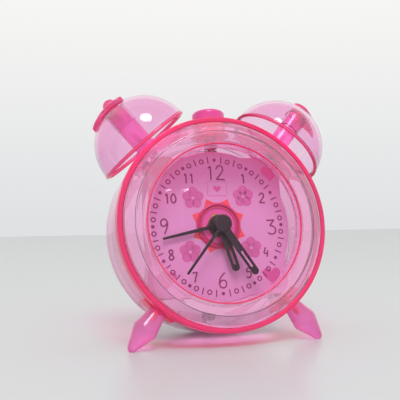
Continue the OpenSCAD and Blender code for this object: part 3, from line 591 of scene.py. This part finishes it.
collar_r, collar_hole_r, bead_r = 9.8, 7.4, 0.7
collar_profile = (arc((collar_r - bead_r, -9.9), bead_r, 0, 180)
                  + [(collar_r - 2 * bead_r, -9.7), (collar_hole_r, -9.6),
                     (collar_hole_r, dial_front), (collar_r, dial_front)])
collar = stood("dial_collar_ring", lathe(bmesh.new(), collar_profile, steps=96), collar_paint)
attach(collar, "case")
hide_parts("dial_collar")

star = bmesh.new()
star_r, star_waist, star_t = 12.4, 0.74, 0.6 * ink_t
star_outline = [on_clock(22.5 * half, star_r if half % 2 else star_waist * star_r)[:2]
                for half in range(17)]
flat_shape(star, star_outline, dial_front, star_t)
star_points = stood("dial_star", closed(star), orange_paint)
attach(star_points, "case")

disc_in, disc_out, disc_front = 4.3, 8.4, -9.9
disc_profile = [(disc_in, dial_front), (disc_out, dial_front), (disc_out, disc_front),
                (disc_in, disc_front)]
inside_collar = stood("dial_inner_disc", lathe(bmesh.new(), disc_profile, steps=96),
                      inner_collar_paint)
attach(inside_collar, "case")

# --- Hands ---
# Moulded in dark plum: a slotted hour and minute hand with round tips, and slim second and
# alarm hands. Each is pressed on its own pipe, and the second hand's cap covers them all.
plum = opaque_plastic("hand_plum", colour(24, 6, 18), colour(34, 10, 26), roughness=0.45,
                      flow_scale=200.0)


def plate(outlines, back, front):
    """A flat plate cut to outlines, the first its edge and the rest its holes, edges rounded."""
    bevel = 0.12
    cut = bpy.data.curves.new("plate", "CURVE")
    cut.dimensions = "2D"
    cut.fill_mode = "BOTH"
    cut.extrude = (front - back) / 2 - bevel
    cut.bevel_depth = bevel
    cut.bevel_resolution = 2
    cut.offset = -bevel
    for outline in outlines:
        line = cut.splines.new("POLY")
        line.use_cyclic_u = True
        line.points.add(len(outline) - 1)
        for point, (x, y) in zip(line.points, outline):
            point.co = (x, y, 0, 1)
    flat = meshed(cut)
    bmesh.ops.translate(flat, vec=(0, 0, (back + front) / 2), verts=flat.verts)
    return closed(flat)


def hand(hub_r, hole_r, length, root_half, tip_half, slot=None):
    """A hand's outlines, pointing along x: its edge, the hole for its pipe and its slot."""
    lean = math.degrees(math.asin(root_half / hub_r))
    edge = (arc((0, 0), hub_r, lean, 360 - lean, 32)
            + arc((length - tip_half, 0), tip_half, -90, 90, 10))
    outlines = [edge]
    if hole_r:
        outlines.append(arc((0, 0), hole_r, 0, 350, 35))
    if slot:
        inner, outer, half = slot
        outlines.append(arc((inner, 0), half, 90, 270, 6) + arc((outer, 0), half, -90, 90, 6))
    return outlines


def set_hand(name, outlines, angle, back, front, body, extra=None):
    """Cuts a hand, turns it to its clock angle and fixes it to the body that turns it."""
    build = plate(outlines, back, front)
    if extra:
        lathe(build, extra, steps=64, end_to_end=False)
    bmesh.ops.rotate(build, cent=(0, 0, 0), verts=build.verts,
                     matrix=Matrix.Rotation(math.radians(90 - angle), 3, "Z"))
    made = stood(name + "_blade", build, plum)
    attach(made, body)
    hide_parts(name)


alarm_edge = hand(hub_r=4.6, hole_r=2.65, length=25.5, root_half=0.8, tip_half=0.5)
set_hand("alarm_hand", alarm_edge, angle=258, back=-8.7, front=-8.2, body="alarm_time")
hour_edge = hand(hub_r=3.6, hole_r=1.95, length=20.5, root_half=1.71, tip_half=1.71,
                 slot=(11.5, 17.2, 0.53))
set_hand("hour_hand", hour_edge, angle=164, back=-7.0, front=-6.4, body="hours")
minute_edge = hand(hub_r=3.2, hole_r=1.25, length=25.5, root_half=1.58, tip_half=1.58,
                   slot=(14.3, 21.4, 0.49))
set_hand("minute_hand", minute_edge, angle=147, back=-5.4, front=-4.8, body="minutes")
second_edge = hand(hub_r=3.0, hole_r=0, length=26.5, root_half=0.7, tip_half=0.5)
cap_profile = [(0, -4.2), (3.4, -4.2), (3.8, -4.0)] + arc((3.3, -3.7), 0.5, 0, 90, 4) + [(0, -3.2)]
set_hand("second_hand", second_edge, angle=219, back=-4.0, front=-3.5, body="seconds",
         extra=cap_profile)

# --- Lens, bezel and rim ring ---
# The lens snaps into the clear bezel on a thin red seal. A fine grey ring on the bezel's rounded
# crest is painted shade for the dark line that refraction draws there. The hot pink rim ring
# clamps the bezel's skirt to the drum, and its front edge is rounded over.
lens_plastic = clear_plastic("lens_plastic", colour(255, 240, 250), colour(250, 206, 234),
                             bend=1.25, ripple=0.000001)
finish_node(lens_plastic, "lens")
bezel_plastic = clear_plastic("bezel_plastic", colour(255, 222, 244), colour(240, 150, 208),
                              bend=1.3, clarity=0.85, coat=1.0)
skirt_r, skirt_back, skirt_wall = 42.9, -3.6, 1.4
lens_r, groove_depth = 33.3, 1.4
crest_mid, crest_low, crest_round, under_round = 37.77, 0.57, 2.0, 0.6
bezel_profile = ([(skirt_r, skirt_back)] + arc((skirt_r - 0.8, -0.5), 0.8, 0, 57, 5)
                 + arc((crest_mid, crest_low), crest_round, 57, 106, 12)
                 + [(lens_r, 1.4), (lens_r, -0.6), (lens_r - groove_depth, -0.6),
                    (lens_r - groove_depth, -2.3), (lens_r + groove_depth, -2.3),
                    (lens_r + groove_depth, -0.1)]
                 + arc((crest_mid, crest_low - 0.2), under_round, 108, 55, 6)
                 + [(skirt_r - 2.2, -1.2), (skirt_r - skirt_wall, -1.7),
                    (skirt_r - skirt_wall, skirt_back)])
bezel = stood("bezel_moulding", lathe(bmesh.new(), bezel_profile, steps=192), bezel_plastic)
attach(bezel, "case")
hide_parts("front_bezel")

hot_plastic = clear_plastic("hot_plastic", colour(255, 58, 138), colour(242, 34, 104),
                            roughness=0.3, clarity=0.35, coat=0.3, edge_blend=0.15)
rim_in, rim_r = 43.0, 45.0
inner_round, outer_round, back_chamfer = 0.3, 0.6, 0.4
rim_profile = ([(rim_in, -rim_len)]
               + arc((rim_in + inner_round, -inner_round), inner_round, 180, 90, 4)
               + arc((rim_r - outer_round, -outer_round), outer_round, 90, 0, 6)
               + [(rim_r, -rim_len + back_chamfer), (rim_r - back_chamfer, -rim_len)])
rim = stood("rim_ring_moulding", lathe(bmesh.new(), rim_profile, steps=160), hot_plastic)
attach(rim, "case")
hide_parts("rim_ring")

# The grey ring is painted shade: it stands in for the dark line that the bezel's crest shows by
# refraction.
crest_painted_shade = opaque_plastic("crest_painted_shade", colour(112, 84, 108), colour(92, 66, 90), roughness=0.2)
line_r, line_front, line_half = 38.35, 2.4, 0.12
crest_shade_ring = lathe(bmesh.new(), arc((line_r, line_front), line_half, 0, 300, 5))
crest_shade_piece = stood("bezel_crest_painted_shade", crest_shade_ring, crest_painted_shade)
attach(crest_shade_piece, "case")

seal_paint = opaque_plastic("seal_red", colour(252, 44, 104), colour(236, 30, 92), roughness=0.3)
seal_r, seal_front, seal_half = 33.25, 1.0, 0.38
seal_build = lathe(bmesh.new(), arc((seal_r, seal_front), seal_half, 0, 315, 7))
seal = stood("lens_seal", seal_build, seal_paint)
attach(seal, "case")

# --- Bells ---
# Thin clear pink domes on magenta posts, each with a hot pink lip round its mouth and
# a heart-shaped cap whose pin goes down into the post. Brackets inside the drum hold the posts.
bell_angle, bell_depth = 40.2, 11.8
mouth_clear = 2.3
bell_r, bell_wall = 21.1, 1.3
magenta_plastic = clear_plastic("magenta_plastic", colour(250, 146, 222), colour(232, 48, 130),
                                roughness=0.3, clarity=0.7, coat=1.0, edge_blend=0.2, bend=1.35)
lip_plastic = clear_plastic("lip_plastic", colour(255, 104, 166), colour(240, 52, 122),
                            roughness=0.1, clarity=0.6, coat=0.5, bend=1.35)
cap_plastic = clear_plastic("cap_plastic", colour(252, 124, 190), colour(240, 60, 140),
                            roughness=0.1, clarity=0.7, coat=0.3, bend=1.35)
finish_node(magenta_plastic, "bell_post_left", "bell_post_right", "bell_bracket_left",
            "bell_bracket_right")
bell_plastic = clear_plastic("bell_plastic", colour(255, 230, 248), colour(242, 146, 206),
                             edge_blend=0.2, ripple=0.000004)


def radial(angle, depth, lift=0.0, flip=False):
    """Places a piece that is drawn with z outwards from the clock's centre, at a clock angle."""
    place = (Matrix.Translation((0, 0, -depth)) @ Matrix.Rotation(math.radians(-angle), 4, "Z")
             @ Matrix.Rotation(math.radians(-90), 4, "X") @ Matrix.Translation((0, 0, lift)))
    return place @ Matrix.Scale(-1, 4, (1, 0, 0)) if flip else place


def ball(radius, spread):
    """Height on a ball's surface above its middle, at a distance from its axis."""
    return math.sqrt(radius ** 2 - spread ** 2)


inner_r = bell_r - bell_wall
mouth_tilt, inner_mouth_tilt = 2, 2.2
post_hole, neck_hole, sleeve_r, sleeve_low = 2.7, 4.1, 4.9, 11.0
hole_tilt = math.degrees(math.acos(post_hole / bell_r))
sleeve_tilt = math.degrees(math.acos(sleeve_r / inner_r))
dome_profile = (arc((0, 0), bell_r, mouth_tilt, hole_tilt, 28)
                + [(post_hole, ball(inner_r, neck_hole)), (neck_hole, ball(inner_r, neck_hole)),
                   (neck_hole, sleeve_low), (sleeve_r, sleeve_low)]
                + arc((0, 0), inner_r, sleeve_tilt, inner_mouth_tilt, 24))
lip_r, lip_half = bell_r - 0.4, 0.75
lip_profile = arc((lip_r, 0), lip_half, 0, 337.5, 15)

# The cap is drawn flat, from two lobes and a tip. Its knob and its pin are moulded with it.
lobe_r, lobe_x, lobe_y, heart_tip = 3.9, -1.3, 3.2, 12.4
heart_reach = math.hypot(heart_tip - lobe_x, lobe_y)
tangent = math.degrees(math.acos(lobe_r / heart_reach) - math.atan2(lobe_y, heart_tip - lobe_x))
cleft = 180 + math.degrees(math.asin(lobe_y / lobe_r))
cap_outline = ([(heart_tip, 0)] + arc((lobe_x, lobe_y), lobe_r, tangent, cleft, 16)
               + arc((lobe_x, -lobe_y), lobe_r, -cleft, -tangent, 16))
knob_r, knob_low = 3.1, bell_r + 0.5
pin_r, pin_low = 1.25, bell_r - 6.5
knob_profile = ([(0, pin_low), (pin_r, pin_low), (pin_r, knob_low), (knob_r, knob_low)]
                + arc((0, bell_r + 0.6), knob_r, 0, 90, 9))


def heart_cap():
    """A heart-shaped plate that hugs the dome, with rounded edges and a knob in its middle."""
    cap_under, cap_middle, cap_top = bell_r + 0.06, bell_r + 1, bell_r + 1.8
    edge_round, sharp_angle = 0.45, 1.0
    cap = bmesh.new()
    sheet = cap.faces.new([cap.verts.new((x, y, 0)) for x, y in cap_outline])
    bmesh.ops.poke(cap, faces=[sheet])
    bmesh.ops.subdivide_edges(cap, edges=cap.edges[:], cuts=3, use_grid_fill=True)
    for vert in cap.verts:
        vert.co.z = ball(cap_under, vert.co.xy.length)
    raised = bmesh.ops.extrude_face_region(cap, geom=cap.faces[:], use_keep_orig=True)["geom"]
    for vert in (item for item in raised if isinstance(item, bmesh.types.BMVert)):
        vert.co.z = ball(cap_top, vert.co.xy.length)
    bmesh.ops.recalc_face_normals(cap, faces=cap.faces)
    top_edges = [edge for edge in cap.edges if edge.calc_face_angle(0) > sharp_angle
                 and all(vert.co.length > cap_middle for vert in edge.verts)]
    bmesh.ops.bevel(cap, geom=top_edges, offset=edge_round, segments=2, profile=0.5,
                    affect="EDGES", material=-1)
    return lathe(cap, knob_profile, steps=48, end_to_end=False)


for side, sign in (("left", -1), ("right", 1)):
    place = radial(sign * bell_angle, bell_depth, lift=drum_r + mouth_clear, flip=sign < 0)
    for name, build, plastic, slot, node in (
            ("bell_dome_", lathe(bmesh.new(), dome_profile), bell_plastic, "clear_pink", "bell_"),
            ("bell_lip_", lathe(bmesh.new(), lip_profile), lip_plastic, "hot_pink", None),
            ("bell_heart_", heart_cap(), cap_plastic, "hot_pink", "bell_cap_")):
        bmesh.ops.transform(build, matrix=place, verts=build.verts)
        piece = stood(name + side, closed(build), plastic)
        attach(piece, "case")
        if node:
            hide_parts(node + side)

# --- Snooze button ---
# A hollow moulded magenta cap with a stem, on a steel spring. A flange under the drum's wall
# keeps it in.
button_r, button_in, button_depth = 7.2, 5.8, 14.0
button_top, ceiling, shoulder_round = 52.8, 48.8, 1.8
flange_r, flange_low, flange_high = 8.2, 39.4, 40.7
button_profile = ([(0, ceiling), (button_in, ceiling), (button_in, flange_low),
                   (flange_r, flange_low), (flange_r, flange_high), (button_r, flange_high)]
                  + arc((button_r - shoulder_round, 49.6), shoulder_round, 0, 75, 7)
                  + [(4.0, 51.9), (2.4, 52.5), (0, button_top)])
button_build = lathe(bmesh.new(), button_profile, steps=96, end_to_end=False)
stem_r, stem_low, stem_high = 1.4, 33.1, 49.0
stop_r, stop_low, stop_high = 3.3, 39.4, 40.4
stem_profile = [(0, stem_low), (stem_r, stem_low), (stem_r, stop_low), (stop_r, stop_low),
                (stop_r, stop_high), (stem_r, stop_high), (stem_r, stem_high), (0, stem_high)]
lathe(button_build, stem_profile, steps=48, end_to_end=False)
bmesh.ops.transform(button_build, matrix=radial(0, button_depth), verts=button_build.verts)
button_plastic = clear_plastic("button_plastic", colour(250, 84, 194), colour(236, 40, 136),
                               roughness=0.25, clarity=0.35, coat=0.6, edge_blend=0.15)
button = stood("snooze_button_cap", closed(button_build), button_plastic)
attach(button, "snooze")
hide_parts("snooze_button")

# The coil spring stands on the dial carrier, and the stem's collar presses it down.
coil_r, wire_r, coil_turns, coil_steps = 2.5, 0.35, 5, 24
coil_foot, coil_top = 31.62, 39.38
coil_rise = coil_top - coil_foot - 2 * wire_r
coil = bmesh.new()
wire_end = (Matrix.Translation((coil_r, 0, coil_foot + wire_r))
            @ Matrix.Rotation(math.pi / 2, 4, "X"))
bmesh.ops.create_circle(coil, cap_ends=False, radius=wire_r, segments=12, matrix=wire_end)
bmesh.ops.spin(coil, geom=coil.verts[:] + coil.edges[:], cent=(0, 0, 0), axis=(0, 0, 1),
               dvec=(0, 0, coil_rise / (coil_turns * coil_steps)),
               angle=2 * math.pi * coil_turns, steps=coil_turns * coil_steps)
bmesh.ops.holes_fill(coil, edges=coil.edges, sides=0)
bmesh.ops.transform(coil, matrix=radial(0, button_depth), verts=coil.verts)
spring = stood("snooze_spring", closed(coil), steel)
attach(spring, "case")
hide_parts("button_spring")
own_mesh(spring)

# --- Legs ---
# Solid turned legs with a knee and a round tip. Each stands against the rim ring and on
# a hot pink saddle behind it, held by a screw from inside the drum.
leg_angle, leg_depth = 140.2, 7.0
knee, tip_at, tip_r, knee_r = 53.7, 62.3, 1.9, 5.2
seat_r, seat_margin = rim_r + 0.1, 0.01
taper = math.degrees(math.atan2(knee_r, tip_at - knee)
                     - math.asin(tip_r / math.hypot(knee_r, tip_at - knee)))
leg_profile = ([(0, seat_r), (3.6, seat_r), (3.75, 46.4), (4.9, 52.3), (5.12, 53.1),
                (knee_r, 53.8), (5.1, 54.5)]
               + arc((0, tip_at), tip_r, taper, 90, 10))
saddle_half, saddle_front, saddle_back = 7.4, rim_len + 0.1, 14.2
table_point = STAND.inverted() @ Vector((0, 0, 0))
table_up = (STAND.inverted().to_3x3() @ Vector((0, 0, 1))).normalized()


def saddle(angle, half_width, front, back):
    """A curved pad on the drum, the same wherever it sits round it."""
    pad = bmesh.new()
    low, high, soft = drum_r + 0.1, drum_r + 1.6, 0.4
    outline = [(low, front), (high - soft, front), (high, front + soft), (high, back - soft),
               (high - soft, back), (low, back)]
    reach = math.asin(half_width / drum_r)
    end = pad.faces.new([pad.verts.new((radius, 0, -depth)) for radius, depth in outline])
    bmesh.ops.spin(pad, geom=[end], cent=(0, 0, 0), axis=(0, 0, 1), angle=2 * reach, steps=14)
    bmesh.ops.rotate(pad, cent=(0, 0, 0), verts=pad.verts,
                     matrix=Matrix.Rotation(math.radians(90 - angle) - reach, 3, "Z"))
    return closed(pad)


for side, sign in (("left", -1), ("right", 1)):
    leg_build = lathe(bmesh.new(), leg_profile, steps=72, end_to_end=False)
    for vert in leg_build.verts:
        if vert.co.z < seat_r + seat_margin:
            vert.co.z = ball(seat_r, vert.co.x)
    bmesh.ops.transform(leg_build, matrix=radial(sign * leg_angle, leg_depth),
                        verts=leg_build.verts)
    cut = bmesh.ops.bisect_plane(leg_build, geom=leg_build.verts[:] + leg_build.edges[:]
                                 + leg_build.faces[:], plane_co=table_point, plane_no=table_up,
                                 clear_inner=True)
    cut_edges = [item for item in cut["geom_cut"] if isinstance(item, bmesh.types.BMEdge)]
    bmesh.ops.edgenet_fill(leg_build, edges=cut_edges)
    leg = stood("leg_" + side, closed(leg_build), magenta_plastic)
    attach(leg, "case")
    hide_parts("foot_" + side)
    pad_build = saddle(sign * leg_angle, saddle_half, saddle_front, saddle_back)
    pad = stood("leg_saddle_" + side, pad_build, hot_plastic)
    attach(pad, "case")
finish_node(hot_plastic, "foot_screws")

# --- Studio ---
# A pale glossy table that ends behind the clock, a pale backdrop, an overhead soft box, and
# two narrow slits of light.
table_front, table_back, table_side = -1.2, 0.62, 1.6
table = bmesh.new()
bmesh.ops.create_grid(table, x_segments=1, y_segments=1, size=1.0)
for corner in table.verts:
    corner.co = (corner.co.x * table_side, table_back if corner.co.y > 0 else table_front, 0)
table_mesh = bpy.data.meshes.new("table")
table.to_mesh(table_mesh)
table.free()
table_top = bpy.data.objects.new("table", table_mesh)
bpy.context.scene.collection.objects.link(table_top)

table_paint, table_output = new_material("table_paint")
table_tree = table_paint.node_tree
table_skin = moulded(table_tree, colour(214, 216, 217), colour(208, 210, 212), flow=0.4,
                     flow_scale=3.0)
table_gloss = add_node(table_tree, "ShaderNodeBsdfPrincipled",
                       {"Base Color": table_skin.outputs["Colour"], "Roughness": 0.28,
                        "IOR": 1.33})
table_tree.links.new(table_gloss.outputs[0], table_output.inputs["Surface"])
table_mesh.materials.append(table_paint)

world = bpy.data.worlds.new("studio")
bpy.context.scene.world = world
world.use_nodes = True
sky = world.node_tree
sky.nodes.clear()
direction = add_node(sky, "ShaderNodeTexCoord", {}).outputs["Generated"]
rise = add_node(sky, "ShaderNodeSeparateXYZ", {"Vector": direction}).outputs["Z"]
lift = add_node(sky, "ShaderNodeMapRange", {"Value": rise, "From Min": -0.05, "From Max": 0.3})
backdrop = mixed_colour(sky, lift.outputs[0], colour(223, 225, 227), colour(250, 249, 247))
shown = add_node(sky, "ShaderNodeBackground", {"Color": backdrop, "Strength": 1.0})
ambient = add_node(sky, "ShaderNodeBackground", {"Color": (1, 1, 1, 1), "Strength": 0.7})
path = add_node(sky, "ShaderNodeLightPath", {}).outputs
mirrored = add_node(sky, "ShaderNodeMath", {0: path["Is Camera Ray"], 1: path["Is Glossy Ray"]},
                    operation="MAXIMUM")
seen = add_node(sky, "ShaderNodeMath",
                {0: mirrored.outputs[0], 1: path["Is Transmission Ray"]}, operation="MAXIMUM")
chosen = add_node(sky, "ShaderNodeMixShader",
                  {0: seen.outputs[0], 1: ambient.outputs[0], 2: shown.outputs[0]})
add_node(sky, "ShaderNodeOutputWorld", {"Surface": chosen.outputs[0]})


def soft_box(name, azimuth, elevation, size, power, height=None):
    """A lamp that faces the clock, round unless it has a height. Azimuth 0 is in front, and
    positive to the right."""
    lamp_distance = 0.8
    turn, climb = math.radians(azimuth), math.radians(elevation)
    away = Vector((math.sin(turn) * math.cos(climb), -math.cos(turn) * math.cos(climb),
                   math.sin(climb)))
    lamp_data = bpy.data.lights.new(name, "AREA")
    lamp_data.shape = "RECTANGLE" if height else "DISK"
    lamp_data.size = size
    if height:
        lamp_data.size_y = height
    lamp_data.energy = power
    lamp = bpy.data.objects.new(name, lamp_data)
    lamp.location = (cad_low + cad_high) / 2 + away * lamp_distance
    lamp.rotation_euler = away.to_track_quat("Z", "Y").to_euler()
    bpy.context.scene.collection.objects.link(lamp)


soft_box("overhead_box", azimuth=-12, elevation=63, size=0.3, power=2.4)
# The slits give no more than a glint each on the lens.
for side, azimuth, elevation in (("left", 13.7, 24.15), ("right", 15.95, 23.95)):
    soft_box("slit_" + side, azimuth, elevation, size=0.0095, power=0.0024, height=0.0026)

# --- Camera ---
# It stands 0.3 m away, a little to the clock's left and a little above its middle, and looks
# almost level.
camera_place = Vector((-92.701, -281.115, 64.483)) * MM
camera_target = Vector((-10.216, -13.948, 58.829)) * MM
camera_data = bpy.data.cameras.new("camera")
camera_data.lens = 61.39
camera_data.clip_start = 0.01
camera = bpy.data.objects.new("camera", camera_data)
camera.location = camera_place
camera.rotation_euler = (camera_target - camera_place).to_track_quat("-Z", "Y").to_euler()
bpy.context.scene.collection.objects.link(camera)
bpy.context.scene.camera = camera
bpy.context.scene.view_settings.view_transform = "Standard"
